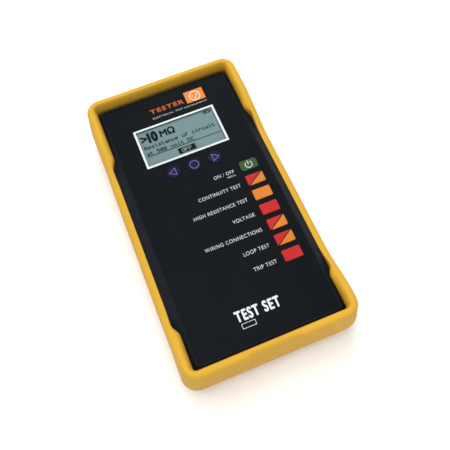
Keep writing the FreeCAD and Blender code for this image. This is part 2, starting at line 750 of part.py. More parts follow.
def fuse_link():
    """Glass cartridge fuse across the board, with a cap on each end."""
    left = -D.fuse_length / 2
    right = D.fuse_length / 2 - D.fuse_cap_length
    glass = rod("fuse_glass", D.fuse_radius, D.fuse_length, left, D.fuse_y, fuse_level, ALONG_X)
    caps = [rod(f"fuse_cap_{number}", D.fuse_cap_radius, D.fuse_cap_length, x, D.fuse_y, fuse_level,
                ALONG_X) for number, x in enumerate((left, right))]
    return fuse("fuse_link", [glass] + caps)


def fuse_clips():
    clips = []
    for side in (-1, 1):
        x = D.clip_x * side
        cheeks = hang(f"fuse_clip_block_{side + 1}", D.clip_length, D.clip_width, D.clip_height,
                      x, D.fuse_y)
        room = rod(f"fuse_clip_room_{side + 1}", D.clip_room, D.clip_length + PAST * 2,
                   x - D.clip_length / 2 - PAST, D.fuse_y, fuse_level, ALONG_X)
        clips.append(subtract(f"fuse_clip_{side + 1}", cheeks, room))
    return gather("fuse_clips", clips)


def processor():
    return block("processor", D.chip_side, D.chip_side, D.chip_height, D.chip_x, D.chip_y, board_top)


# ---------------------------------------------------------------- battery bay

def cell_x(number):
    return D.cell_pitch * (number - (CELL_COUNT - 1) / 2)


def battery_cell(number):
    """One cylindrical cell with its raised terminal, turned end for end beside its neighbour."""
    label = f"battery_cell_{number + 1}"
    x = cell_x(number)
    foot = bay_y - D.cell_length / 2
    can = rod(f"{label}_can", D.cell_radius, D.cell_length, x, foot, cell_level, ALONG_Y)
    nub_y = foot + D.cell_length if number % 2 == 0 else foot - D.nub_height
    nub = rod(f"{label}_nub", D.nub_radius, D.nub_height, x, nub_y, cell_level, ALONG_Y)
    return fuse(label, [can, nub])


def battery_contacts():
    """A flat plate on the bay's end wall at each end of each cell."""
    plates = []
    reach = D.bay_length / 2 - D.plate_gap - D.plate_thickness / 2
    for end in (-1, 1):
        for number in range(CELL_COUNT):
            plates.append(block(f"contact_plate_{number}_{end + 1}", D.plate_width,
                                D.plate_thickness, D.plate_height, cell_x(number),
                                bay_y + reach * end, cell_level - D.plate_height / 2))
    return gather("battery_contacts", plates)


def battery_springs():
    """A cone-shaped spring for each cell's flat end, drawn as the envelope of its coils."""
    springs = []
    reach = D.bay_length / 2 - D.plate_gap - D.plate_thickness
    for number in range(CELL_COUNT):
        end = -1 if number % 2 == 0 else 1
        item = doc.addObject("Part::Cone", f"spring_{number}")
        bind(item, Radius1=D.spring_foot, Radius2=D.spring_tip, Height=D.spring_length)
        place(item, cell_x(number), bay_y + reach * end, cell_level,
              ALONG_Y if end < 0 else AGAINST_Y)
        springs.append(item)
    return gather("battery_springs", springs)


def battery_door():
    """Door in the back: a plate with a raised pad that locates it in the bay's mouth."""
    item = body("battery_door")
    plate = sketch(item, D.case_back, y=D.door_y)
    add_box(plate, D.door_width, D.door_length, D.door_corner)
    extrude(item, plate, D.door_thickness - D.door_play)
    pad = sketch(item, D.case_back + D.door_thickness - D.door_pad_sink, y=bay_y)
    add_box(pad, D.bay_width - D.door_pad_play, D.bay_length - D.door_pad_play)
    extrude(item, pad, D.case_wall - D.door_thickness)
    for x, y in door_places():
        for radius, depth in ((D.screw_clear, D.case_wall + PAST), (D.door_head_seat, D.door_head_sink)):
            hole = sketch(item, D.case_back, x=x, y=y)
            add_circle(hole, radius)
            cut(item, hole, depth)
    return item


def door_screws():
    screws = []
    for number, (x, y) in enumerate(door_places()):
        head = rod(f"door_screw_head_{number}", D.door_head_radius, D.door_head_height, x, y,
                   D.case_back)
        shank = rod(f"door_screw_shank_{number}", D.screw_radius, D.door_screw_length, x, y,
                    D.case_back)
        screws.append(fuse(f"door_screw_{number}", [head, shank]))
    return gather("door_screws", screws)


# ---------------------------------------------------------------- test lead sockets

def socket_shroud(label, side):
    """Insulating shroud through the end wall: a blind tube with a hole for the contact's tail."""
    x = D.socket_pitch * side
    outside = rod(f"{label}_outside", D.shroud_radius, D.shroud_length, x, shroud_back,
                  D.socket_level, ALONG_Y)
    room = rod(f"{label}_room", D.shroud_bore, D.shroud_length, x, shroud_back + D.shroud_floor,
               D.socket_level, ALONG_Y)
    tail = rod(f"{label}_tail", D.tail_hole, D.shroud_floor + PAST * 2, x, shroud_back - PAST,
               D.socket_level, ALONG_Y)
    return subtract(label, outside, fuse(f"{label}_holes", [room, tail]))


def socket_contact(label, side):
    """Turned contact sleeve, with a solid tail out of the shroud's back."""
    x = D.socket_pitch * side
    back = shroud_back + D.shroud_floor
    length = D.shroud_length - D.shroud_floor - D.contact_recess
    sleeve = rod(f"{label}_sleeve", D.contact_outer, length, x, back, D.socket_level, ALONG_Y)
    tail = rod(f"{label}_pin", D.tail_radius, D.tail_length, x, back - D.tail_length,
               D.socket_level, ALONG_Y)
    bore = rod(f"{label}_hole", D.contact_bore, D.contact_bore_length + PAST, x,
               back + length - D.contact_bore_length, D.socket_level, ALONG_Y)
    return subtract(label, fuse(f"{label}_turned", [sleeve, tail]), bore)


def socket_links():
    """Tinned straps from the contacts' tails up to the main board."""
    y = shroud_back - D.strap_back
    foot = D.socket_level - D.strap_below
    eye_length = D.strap_thickness + PAST * 2
    links = []
    for side in (-1, 0, 1):
        x = D.socket_pitch * side
        strap = block(f"link_strap_{side + 1}", D.strap_width, D.strap_thickness,
                      D.board_level - foot, x, y, foot)
        eye = rod(f"link_eye_{side + 1}", D.tail_hole, eye_length, x, y - eye_length / 2,
                  D.socket_level, ALONG_Y)
        links.append(subtract(f"link_{side + 1}", strap, eye))
    return gather("socket_links", links)


# ---------------------------------------------------------------- assembly

def build_all():
    nodes = [holster(), front_shell(), rear_shell(), case_gasket(), case_screws(),
             keypad_overlay(), display_window(), display_frame(), display_glass(),
             display_backlight(), main_board(), board_screws(), key_switches(), processor(),
             column_key("key_power", 0)]
    nodes += [column_key(f"key_test_{number}", number) for number in range(1, KEY_COUNT)]
    nodes += [cursor_key("key_left", -1), cursor_key("key_select", 0), cursor_key("key_right", 1)]
    nodes += [relays(), transformer(), capacitors(), load_resistors(), surge_arrester(),
              buzzer(), fuse_link(), fuse_clips()]
    nodes += [battery_cell(number) for number in range(CELL_COUNT)]
    nodes += [battery_contacts(), battery_springs(), battery_door(), door_screws()]
    for name, side in (("left", -1), ("middle", 0), ("right", 1)):
        nodes.append(socket_shroud(f"socket_shroud_{name}", side))
        nodes.append(socket_contact(f"socket_contact_{name}", side))
    nodes.append(socket_links())
    return nodes


def check(nodes):
    """Stops if any object failed or any node has no valid closed shape."""
    failed = [item.Label for item in doc.Objects if {"Invalid", "Error"} & set(item.State)]
    bad = [item.Label for item in nodes if item.Shape.isNull() or not item.Shape.isValid()]
    if failed or bad:
        raise RuntimeError(f"failed: {failed}, not valid: {bad}")


def main():
    nodes = build_all()
    doc.recompute()
    check(nodes)
    os.makedirs("parts", exist_ok=True)
    for item in nodes:
        item.Shape.exportStep(f"parts/{item.Label}.step")
        print(f"{item.Label:24s} solids {len(item.Shape.Solids):2d} volume {item.Shape.Volume:10.1f}")


main()
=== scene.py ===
import json
import math
import re
from collections import namedtuple

import bpy
from mathutils import Matrix, Vector


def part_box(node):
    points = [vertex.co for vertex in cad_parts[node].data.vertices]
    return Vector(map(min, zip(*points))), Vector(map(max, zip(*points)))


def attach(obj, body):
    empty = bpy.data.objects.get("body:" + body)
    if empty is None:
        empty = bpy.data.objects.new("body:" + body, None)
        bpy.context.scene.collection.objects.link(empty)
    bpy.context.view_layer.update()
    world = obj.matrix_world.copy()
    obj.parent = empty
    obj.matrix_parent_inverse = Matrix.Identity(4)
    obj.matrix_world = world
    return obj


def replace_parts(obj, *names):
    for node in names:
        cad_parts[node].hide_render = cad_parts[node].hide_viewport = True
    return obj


# Looks of a handheld electrical installation tester in a yellow rubber holster.
# The frame's +Z leaves the front panel and +Y points to the display end. MM turns millimetres into metres.

MM = 0.001
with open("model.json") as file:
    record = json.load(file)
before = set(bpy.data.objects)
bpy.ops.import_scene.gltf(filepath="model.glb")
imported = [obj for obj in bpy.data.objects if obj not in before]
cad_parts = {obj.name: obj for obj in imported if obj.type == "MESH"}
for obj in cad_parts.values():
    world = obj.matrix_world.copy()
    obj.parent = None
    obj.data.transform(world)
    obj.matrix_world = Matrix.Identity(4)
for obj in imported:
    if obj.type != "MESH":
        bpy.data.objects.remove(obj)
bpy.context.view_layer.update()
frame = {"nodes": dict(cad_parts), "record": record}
NODES = frame["nodes"]
INSTRUMENT = "instrument"


# ---------------------------------------------------------------- mesh helpers

def add_piece(name, vertices, faces, body, finish, smooth_angle=None):
    """An object made of the given vertices, in millimetres, with its material and body."""
    mesh = bpy.data.meshes.new(name)
    mesh.from_pydata([Vector(point) * MM for point in vertices], [], faces)
    mesh.validate()
    item = bpy.data.objects.new(name, mesh)
    bpy.context.scene.collection.objects.link(item)
    mesh.materials.append(finish)
    if smooth_angle is not None:
        mesh.shade_smooth()
        mesh.set_sharp_from_angle(angle=math.radians(smooth_angle))
    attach(item, body)
    return item


def scratch_object(name, vertices, faces):
    """A solid that cuts another and is then removed."""
    mesh = bpy.data.meshes.new(name)
    mesh.from_pydata([Vector(point) * MM for point in vertices], [], faces)
    item = bpy.data.objects.new(name, mesh)
    bpy.context.scene.collection.objects.link(item)
    return item


def worked_mesh(item):
    """A mesh of the item as it stands, with its modifiers or its letters worked in."""
    depsgraph = bpy.context.evaluated_depsgraph_get()
    return bpy.data.meshes.new_from_object(item.evaluated_get(depsgraph))


def carve(item, tools):
    """Cuts the tools out of the item and removes them."""
    for tool in tools:
        modifier = item.modifiers.new("carve", "BOOLEAN")
        modifier.object = tool
        modifier.operation = "DIFFERENCE"
        modifier.solver = "EXACT"
    mesh = worked_mesh(item)
    item.modifiers.clear()
    item.data = mesh
    for tool in tools:
        bpy.data.objects.remove(tool)


def strip_faces(rows, columns, closed_rows=True):
    """Quads between the rows of a grid whose columns close on themselves."""
    faces = []
    last = rows if closed_rows else rows - 1
    for row in range(last):
        following = (row + 1) % rows
        for column in range(columns):
            beside = (column + 1) % columns
            faces.append((row * columns + column, row * columns + beside,
                          following * columns + beside, following * columns + column))
    return faces


def lerp(start, end, share):
    """The value at a share of the way from start to end."""
    return start + (end - start) * share


def ease(value):
    """0 below 0, 1 above 1 and a smooth step between."""
    value = min(max(value, 0.0), 1.0)
    return value * value * (3 - 2 * value)


# ---------------------------------------------------------------- lettering and flat prints

class Print:
    """A thin flat layer of ink, gathered from letters, boxes and rings."""

    THICKNESS = 0.03

    def __init__(self, level):
        self.level = level
        self.vertices = []
        self.faces = []

    def add(self, vertices, faces):
        first = len(self.vertices)
        self.vertices += vertices
        self.faces += [tuple(first + index for index in face) for face in faces]

    def slab(self, outline, lift=0.0):
        """A closed slab over an outline that turns to the left, lifted off the layer's level."""
        count = len(outline)
        base = self.level + lift
        points = [(x, y, z) for z in (base, base + self.THICKNESS) for x, y in outline]
        sides = [(i, (i + 1) % count, count + (i + 1) % count, count + i) for i in range(count)]
        self.add(points, [tuple(reversed(range(count))), tuple(range(count, 2 * count))] + sides)

    def ring(self, outer, inner):
        """A closed band between two outlines with the same number of points."""
        count = len(outer)
        top = self.level + self.THICKNESS
        points = [(x, y, z) for z in (self.level, top) for line in (outer, inner) for x, y in line]
        low_outer, low_inner, high_outer, high_inner = (count * turn for turn in range(4))
        faces = []
        for i in range(count):
            j = (i + 1) % count
            faces += [(high_outer + i, high_outer + j, high_inner + j, high_inner + i),
                      (low_outer + j, low_outer + i, low_inner + i, low_inner + j),
                      (low_outer + i, low_outer + j, high_outer + j, high_outer + i),
                      (low_inner + j, low_inner + i, high_inner + i, high_inner + j)]
        self.add(points, faces)

    def box(self, x0, x1, y0, y1, lift=0.0):
        self.slab(corners(x0, x1, y0, y1), lift)

    def frame(self, x0, x1, y0, y1, line):
        """A rectangular outline whose line lies inside the given box."""
        self.ring(corners(x0, x1, y0, y1), corners(x0 + line, x1 - line, y0 + line, y1 - line))

    def words(self, text, x0, x1, y, height, stretch=1.0, weight=0.0, spacing=1.0, thinning=0.0):
        """Letters of the given cap height on the line y, between x0 and x1, or ending at x1 if x0 is None.

        Bold letters are copies moved out all round by the weight, each a little above the last,
        so that no two faces lie in one plane."""
        mesh = letters(text, spacing, thinning)
        low = min(vertex.co.x for vertex in mesh.vertices)
        high = max(vertex.co.x for vertex in mesh.vertices)
        size = height / CAP_HEIGHT
        across = size * stretch if x0 is None else (x1 - x0) / (high - low)
        start = x1 - (high - low) * across if x0 is None else x0
        faces = [tuple(face.vertices) for face in mesh.polygons]
        moves = circle(0, 0, weight, BOLD_COPIES) if weight else [(0, 0)]
        for turn, (dx, dy) in enumerate(moves):
            base = self.level + COPY_STEP * turn
            points = [(start + dx + (vertex.co.x - low) * across, y + dy + vertex.co.y * size,
                       base + (vertex.co.z + HALF_THICK) * self.THICKNESS) for vertex in mesh.vertices]
            self.add(points, faces)
        bpy.data.meshes.remove(mesh)

    def piece(self, name, body, finish):
        return add_piece(name, self.vertices, self.faces, body, finish)


CAP_HEIGHT = 0.7    # of a letter in the built-in font at size 1
HALF_THICK = 0.5    # of a letter that is one unit thick
BOLD_COPIES = 8
COPY_STEP = 0.005   # by which prints that cross one another are lifted, one after the other


def corners(x0, x1, y0, y1):
    """A rectangle's corners, turning to the left from the lower left one."""
    return [(x0, y0), (x1, y0), (x1, y1), (x0, y1)]


def letters(text, spacing, thinning):
    """A mesh of solid letters, one unit thick and centred on the line's plane, with slimmer strokes."""
    curve = bpy.data.curves.new("letters", "FONT")
    curve.body = text
    curve.space_character = spacing
    curve.extrude = HALF_THICK
    curve.offset = -thinning
    item = bpy.data.objects.new("letters", curve)
    bpy.context.scene.collection.objects.link(item)
    mesh = worked_mesh(item)
    bpy.data.objects.remove(item)
    return mesh


def circle(x, y, radius, count=48, start=0.0, end=360.0):
    """Points of a whole circle, or of an arc with both of its ends."""
    whole = end - start >= 360.0
    steps = count if whole else count - 1
    angles = [math.radians(lerp(start, end, turn / steps)) for turn in range(count)]
    return [(x + radius * math.cos(angle), y + radius * math.sin(angle)) for angle in angles]


def polygon(x, y, radius, sides, start):
    """Corners of an even polygon, the first of them in the direction of start."""
    return circle(x, y, radius, sides, start, start + 360.0)


# ---------------------------------------------------------------- materials

MIX_FIRST, MIX_SECOND, MIX_RESULT = 6, 7, 2  # the colour sockets of a Mix node


class Finish:
    """A node material around one Principled shader, with patterns in object coordinates."""

    def __init__(self, name, colour, roughness, **sockets):
        self.material = bpy.data.materials.new(name)
        self.material.use_nodes = True
        self.tree = self.material.node_tree
        self.shader = self.tree.nodes["Principled BSDF"]
        self.colour = colour
        self.shader.inputs["Base Color"].default_value = (*colour, 1)
        self.shader.inputs["Roughness"].default_value = roughness
        for socket, value in sockets.items():
            self.shader.inputs[socket.replace("_", " ")].default_value = value
        self.place = self.node("ShaderNodeTexCoord").outputs["Object"]

    def node(self, kind, **settings):
        item = self.tree.nodes.new(kind)
        for key, value in settings.items():
            setattr(item, key, value)
        return item

    def link(self, source, target):
        self.tree.links.new(source, target)

    def noise(self, scale, detail=3.0):
        item = self.node("ShaderNodeTexNoise")
        item.inputs["Scale"].default_value = scale
        item.inputs["Detail"].default_value = detail
        self.link(self.place, item.inputs["Vector"])
        return item.outputs["Fac"]

    def axis(self, name):
        split = self.node("ShaderNodeSeparateXYZ")
        self.link(self.place, split.inputs["Vector"])
        return split.outputs[name]

    def math(self, operation, *values):
        item = self.node("ShaderNodeMath", operation=operation)
        for socket, value in zip(item.inputs, values):
            if isinstance(value, (int, float)):
                socket.default_value = value
            else:
                self.link(value, socket)
        return item.outputs[0]

    def spread(self, value, low, high, start=0.3, end=0.7):
        """Maps a pattern's middle range to low and high."""
        item = self.node("ShaderNodeMapRange")
        for socket, number in zip(("From Min", "From Max", "To Min", "To Max"), (start, end, low, high)):
            item.inputs[socket].default_value = number
        self.link(value, item.inputs["Value"])
        return item.outputs["Result"]

    def mix(self, share, first, second):
        """The first colour where the share is 0 and the second where it is 1."""
        item = self.node("ShaderNodeMix", data_type="RGBA")
        self.link(share, item.inputs["Factor"])
        for socket, colour in ((item.inputs[MIX_FIRST], first), (item.inputs[MIX_SECOND], second)):
            if isinstance(colour, tuple):
                socket.default_value = (*colour, 1)
            else:
                self.link(colour, socket)
        return item.outputs[MIX_RESULT]

    def paint(self, colour):
        self.link(colour, self.shader.inputs["Base Color"])
        return self

    def vary(self, scale, amount):
        """Patches that are lighter and darker than the colour by the given share."""
        dark = tuple(channel * (1 - amount) for channel in self.colour)
        light = tuple(channel * (1 + amount) for channel in self.colour)
        return self.paint(self.mix(self.spread(self.noise(scale), low=0, high=1), dark, light))

    def sheen_spots(self, scale, low, high):
        """Patches whose roughness runs from low to high."""
        self.link(self.spread(self.noise(scale), low, high), self.shader.inputs["Roughness"])
        return self

    def relief(self, pattern, depth):
        """Bumps as high as the depth, in millimetres."""
        bump = self.node("ShaderNodeBump")
        bump.inputs["Strength"].default_value = 1.0
        bump.inputs["Distance"].default_value = depth * MM
        self.link(pattern, bump.inputs["Height"])
        self.link(bump.outputs["Normal"], self.shader.inputs["Normal"])
        return self


def moulded(name, colour, roughness, grain=2600, **sockets):
    """Moulded plastic: a fine grain, slight colour patches and uneven gloss."""
    item = Finish(name, colour, roughness, **sockets)
    item.vary(scale=60, amount=0.06).sheen_spots(scale=140, low=roughness - 0.05, high=roughness + 0.05)
    return item.relief(item.noise(grain), depth=0.02).material


def metal(name, colour, roughness):
    """Bare or plated metal with faint patches and fine marks in its gloss."""
    item = Finish(name, colour, roughness, Metallic=1.0)
    item.vary(scale=90, amount=0.08)
    pattern = item.noise(scale=1500)
    gloss = item.spread(pattern, low=roughness - 0.07, high=roughness + 0.1)
    item.link(gloss, item.shader.inputs["Roughness"])
    return item.relief(pattern, depth=0.006).material


def ink(name, colour, roughness=0.5, **sockets):
    """Screen printed ink: slightly uneven cover with a faint mesh grain."""
    item = Finish(name, colour, roughness, **{"Specular_IOR_Level": 0.12, **sockets})
    item.vary(scale=900, amount=0.05).sheen_spots(scale=500, low=roughness - 0.06, high=roughness + 0.06)
    return item.relief(item.noise(scale=5000), depth=0.004).material


RUBBER = (0.62, 0.345, 0.028)
RUBBER_DEEP, RUBBER_PALE, RUBBER_DUST = (0.6, 0.332, 0.026), (0.64, 0.357, 0.03), (0.5, 0.3, 0.06)


def holster_rubber():
    """Yellow elastomer: fine moulded grain, broad tone shifts, dust in the grain and a soft sheen."""
    item = Finish("holster_rubber", RUBBER, 0.6, Specular_IOR_Level=0.2)
    broad = item.spread(item.noise(scale=22, detail=2.0), low=0, high=1)
    tone = item.mix(broad, RUBBER_DEEP, RUBBER_PALE)
    dust = item.spread(item.noise(scale=700, detail=6.0), low=0, high=0.12, start=0.55, end=0.8)
    item.paint(item.mix(dust, tone, RUBBER_DUST))
    item.sheen_spots(scale=180, low=0.55, high=0.66)
    return item.relief(item.noise(scale=2200, detail=4.0), depth=0.03).material


def overlay_film():
    """Near black printed polyester film with a velvet grain."""
    item = Finish("overlay_film", (0.0042, 0.006, 0.0076), 0.38, Specular_IOR_Level=0.03)
    item.vary(scale=35, amount=0.08).sheen_spots(scale=90, low=0.34, high=0.43)
    return item.relief(item.noise(scale=5200, detail=2.0), depth=0.008).material


KEY_SHEEN = {"Specular_IOR_Level": 0.08}
KEY_RED, KEY_ORANGE, KEY_LINE = (0.43, 0.02, 0.018), (0.56, 0.175, 0.026), (0.06, 0.015, 0.01)
KEY_LINE_HALF = 0.1  # of the line on a split key, as a share of half the key


def split_key(node):
    """Key printed red above its diagonal and orange below, with a thin dark line between."""
    low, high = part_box(node)
    middle, half = (low + high) / 2, (high - low) / 2
    item = Finish(f"{node}_split", KEY_RED, 0.4, **KEY_SHEEN)
    across = item.math("DIVIDE", item.math("SUBTRACT", item.axis("X"), middle.x), half.x)
    along = item.math("DIVIDE", item.math("SUBTRACT", item.axis("Y"), middle.y), half.y)
    side = item.math("SUBTRACT", along, across)
    patches = item.spread(item.noise(scale=60), low=0.94, high=1.06)
    halves = item.mix(item.math("LESS_THAN", side, 0.0), KEY_RED, KEY_ORANGE)
    on_line = item.math("LESS_THAN", item.math("ABSOLUTE", side), KEY_LINE_HALF)
    printed = item.mix(on_line, halves, KEY_LINE)
    shade = item.node("ShaderNodeHueSaturation")
    item.link(patches, shade.inputs["Value"])
    item.link(printed, shade.inputs["Color"])
    item.paint(shade.outputs["Color"]).sheen_spots(scale=140, low=0.35, high=0.45)
    return item.relief(item.noise(scale=2600), depth=0.02).material


DOT, DOT_SPREAD = 0.392, 0.2  # pitch of the display's dots and how far their edges bleed, in pitches
DOT_LINE, DOT_LINE_SHARE = 0.08, 0.35  # width of the lines between dots, in pitches, and how much they show
CELL = (0.15, 0.245, 0.252)
CELL_DEEP, CELL_PALE, CELL_LINE = (0.145, 0.238, 0.245), (0.155, 0.252, 0.259), (0.175, 0.275, 0.28)


def display_cell():
    """Grey-green liquid crystal cell with the faint grid of its dots."""
    item = Finish("display_glass", CELL, 0.35, Specular_IOR_Level=0.15)
    places = [item.math("FRACT", item.math("DIVIDE", item.axis(name), DOT * MM)) for name in ("X", "Y")]
    lines = [item.math("LESS_THAN", place, DOT_LINE) for place in places]
    grid = item.math("MULTIPLY", item.math("MAXIMUM", *lines), DOT_LINE_SHARE)
    tone = item.mix(item.spread(item.noise(scale=45, detail=1.0), low=0, high=1), CELL_DEEP, CELL_PALE)
    return item.paint(item.mix(grid, tone, CELL_LINE)).material


def clear_window():
    """Hard coated clear pane with faint wipe marks in its gloss."""
    item = Finish("clear_window", (0.02, 0.025, 0.025), 0.2, Alpha=0.05, Specular_IOR_Level=0.2)
    return item.sheen_spots(scale=60, low=0.17, high=0.24).material


TRACK_PITCH, TRACK_SHARE = 4.0, 0.14
MASK, MASK_DEEP, MASK_ON_TRACK = (0.015, 0.12, 0.04), (0.012, 0.1, 0.035), (0.04, 0.22, 0.08)


def board_laminate():
    """Green solder mask over copper tracks that show as paler lines."""
    item = Finish("board_laminate", MASK, 0.35)
    places = [item.math("FRACT", item.math("MULTIPLY", item.axis(name), 1 / (TRACK_PITCH * MM)))
              for name in ("X", "Y")]
    tracks = [item.math("LESS_THAN", place, TRACK_SHARE) for place in places]
    patch = item.math("GREATER_THAN", item.noise(scale=60, detail=0.0), 0.5)
    shown = item.mix(patch, tracks[0], tracks[1])
    item.paint(item.mix(shown, MASK_DEEP, MASK_ON_TRACK))
    item.sheen_spots(scale=400, low=0.28, high=0.42)
    return item.relief(item.noise(scale=1800), depth=0.01).material


def banded(name, axis, pitch, first, second, share, roughness):
    """Bands across an axis, as on a taped winding or a wrapped cell."""
    item = Finish(name, first, roughness)
    place = item.math("FRACT", item.math("DIVIDE", item.axis(axis), pitch * MM))
    item.paint(item.mix(item.math("LESS_THAN", place, share), first, second))
    item.sheen_spots(scale=200, low=roughness - 0.06, high=roughness + 0.08)
    return item.relief(item.noise(scale=1200), depth=0.01).material


# ---------------------------------------------------------------- finish table

def make_finishes():
    """One material for each slot, except for the split keys, which each get their own."""
    return {
        "holster_rubber": holster_rubber(),
        "overlay_film": overlay_film(),
        "case_plastic": moulded("case_plastic", (0.0115, 0.0135, 0.019), 0.4, grain=1700,
                                Specular_IOR_Level=0.02),
        "gasket_rubber": moulded("gasket_rubber", (0.02, 0.02, 0.02), 0.7),
        "switch_plastic": moulded("switch_plastic", (0.03, 0.03, 0.03), 0.5),
        "chip_plastic": moulded("chip_plastic", (0.02, 0.02, 0.022), 0.6),
        "relay_plastic": moulded("relay_plastic", (0.02, 0.08, 0.3), 0.3),
        "transformer_core": banded("transformer_core", "Y", 5.0, (0.07, 0.06, 0.05), (0.3, 0.22, 0.05),
                                   0.5, 0.55),
        "capacitor_sleeve": moulded("capacitor_sleeve", (0.02, 0.02, 0.09), 0.3),
        "cell_wrap": banded("cell_wrap", "Y", 49.2, (0.09, 0.09, 0.1), (0.45, 0.3, 0.08), 0.25, 0.28),
        "light_guide": moulded("light_guide", (0.85, 0.86, 0.84), 0.3),
        "board_laminate": board_laminate(),
        "socket_red": moulded("socket_red", (0.5, 0.02, 0.02), 0.32),
        "socket_green": moulded("socket_green", (0.02, 0.25, 0.06), 0.32),
        "socket_blue": moulded("socket_blue", (0.02, 0.08, 0.4), 0.32),
        "key_green": moulded("key_green", (0.034, 0.078, 0.028), 0.4, **KEY_SHEEN),
        "key_red": moulded("key_red", KEY_RED, 0.4, **KEY_SHEEN),
        "key_orange": moulded("key_orange", KEY_ORANGE, 0.4, **KEY_SHEEN),
        "key_navy": moulded("key_navy", (0.003, 0.003, 0.03), 0.35, **KEY_SHEEN),
        "screw_steel": metal("screw_steel", (0.62, 0.62, 0.6), 0.32),
        "display_metal": metal("display_metal", (0.55, 0.56, 0.57), 0.35),
        "contact_metal": metal("contact_metal", (0.7, 0.69, 0.66), 0.25),
        "contact_brass": metal("contact_brass", (0.78, 0.6, 0.3), 0.24),
        "fuse_glass": metal("fuse_glass", (0.8, 0.8, 0.78), 0.2),
        "display_glass": display_cell(),
        "clear_window": clear_window(),
    }


FINISH = make_finishes()
INK_WHITE = ink("ink_white", (0.63, 0.67, 0.69))
INK_LABEL = ink("ink_label", (0.6, 0.63, 0.65))
INK_HEADING = ink("ink_heading", (0.42, 0.1, 0.018))
INK_TILE = ink("ink_tile", (0.66, 0.205, 0.028))
INK_LAVENDER = ink("ink_lavender", (0.16, 0.14, 0.34))
LCD_INK = ink("lcd_ink", (0.002, 0.005, 0.006), 0.45, Specular_IOR_Level=0.05)


def dress_nodes():
    """Gives every CAD node that stays in view the finish of its slot."""
    for part in frame["record"]["subparts"]:
        node, slot = NODES[part["node"]], part["material_slot"]
        node.data.materials.clear()
        node.data.materials.append(split_key(part["node"]) if slot == "key_red_orange" else FINISH[slot])


# ---------------------------------------------------------------- holster

class Plan:
    """A rounded rectangle walked to the left from its lower right corner, in matching steps."""

    SIDE_STEPS = 120
    END_STEPS = 72
    CORNER_STEPS = 12

    def __init__(self):
        self.stations = []
        parts = (("right", self.SIDE_STEPS), ("top_right", self.CORNER_STEPS), ("top", self.END_STEPS),
                 ("top_left", self.CORNER_STEPS), ("left", self.SIDE_STEPS),
                 ("bottom_left", self.CORNER_STEPS), ("bottom", self.END_STEPS),
                 ("bottom_right", self.CORNER_STEPS))
        for part, steps in parts:
            self.stations += [(part, step / steps) for step in range(steps)]

    def point(self, station, w, l, top, bottom):
        """The station's place on a rectangle of half sizes w and l and the two corner radii."""
        part, share = station
        if part == "right":
            return w, lerp(bottom - l, l - top, share)
        if part == "left":
            return -w, lerp(l - top, bottom - l, share)
        if part == "top":
            return lerp(w - top, top - w, share), l
        if part == "bottom":
            return lerp(bottom - w, w - bottom, share), -l
        radius = top if part.startswith("top") else bottom
        side = 1 if part.endswith("right") else -1
        end = 1 if part.startswith("top") else -1
        first = {"top_right": 0, "top_left": 90, "bottom_left": 180, "bottom_right": 270}[part]
        angle = math.radians(first + 90 * share)
        return side * (w - radius) + radius * math.cos(angle), end * (l - radius) + radius * math.sin(angle)


Ring = namedtuple("Ring", "w l top_corner bottom_corner z")  # half sizes, corner radii and height

HOLSTER_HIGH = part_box("holster")[1] / MM
SHELL_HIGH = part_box("front_shell")[1] / MM
CASE_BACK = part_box("rear_shell")[0].z / MM
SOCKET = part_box("socket_shroud_middle")
SOCKET_LEVEL = (SOCKET[0].z + SOCKET[1].z) / 2 / MM
BELLY_W, BELLY_L, RIM = HOLSTER_HIGH
BELLY_LEVEL = 17.0
RIM_LEAN_W, RIM_LEAN_L = 2.7, 1.0
FOOT_TAPER, FOOT_ROUND = 3.9, 1.5
TOP_CORNER, BOTTOM_CORNER = 9.0, 9.0
MOUTH_W, MOUTH_L, MOUTH_SHIFT, MOUTH_CORNER = 46.2, 93.4, 0.3, 2.2
LIP_LEVEL = 31.6
SHOULDER = 27.5       # where the enclosure's sides end and its bevel starts
CASE_GAP = 0.12
CASE_CORNER = 3.5     # tighter than the enclosure's, so that the lip's corners hide it
WINDOW_W, WINDOW_L, WINDOW_CORNER = 37.0, 86.0, 6.0
OUTER_ROUND = 2.9
CREST_W, CREST_L, CREST_DROP = 3.0, 1.6, 5.5
LOW_RIM, LOW_ROUND, LOW_MOUTH, LOW_CREST, LOW_DROP = 28.0, 3.6, 49.2, 0.5, 0.35
RISE_ABOVE, RISE_BELOW = (36.0, 72.0), (-50.0, -88.0)
LIP_ABOVE = {"right": (52.0, 57.5), "left": (47.5, 54.5)}
LIP_BELOW = {"right": (-63.5, -72.0), "left": (-62.5, -70.0)}
NOTCH_HALF, NOTCH_RAMP, NOTCH_DEPTH = 15.0, 1.8, 1.0
NOTCH_FADE = (16.0, 26.0)
SOCKET_WINDOW_W, SOCKET_WINDOW_H, SOCKET_WINDOW_CORNER = 31.0, 8.0, 3.0
LOW_LIP_RISE, LOW_SHOULDER_DROP = 0.1, 0.2
SOCKET_MOUTH_DEPTH, TOOL_REACH = 1.2, 1.0
FOOT_STEPS, OUTER_STEPS, WALL_STEPS, INNER_STEPS, SOCKET_CORNER_STEPS = 3, 7, 9, 8, 7
RINGS_PAST_LIP = 3    # the rings that line the cavity
HOLSTER_SMOOTH = 50   # degrees, up to which an edge of the rubber is shaded smooth


def wall(level, widest, lean):
    """Half size of the outer wall at a height: a belly that tapers to the foot and leans in to the rim."""
    if level < BELLY_LEVEL:
        return widest - FOOT_TAPER * (1 - level / BELLY_LEVEL) ** 2
    return widest - lean * (level - BELLY_LEVEL) / (RIM - BELLY_LEVEL)


def quarter(across, rise, steps):
    """Points of a quarter ellipse from its side to its top, as shares of the two half axes."""
    angles = [math.radians(90 * step / steps) for step in range(steps + 1)]
    return [(across * math.cos(angle), rise * math.sin(angle)) for angle in angles]


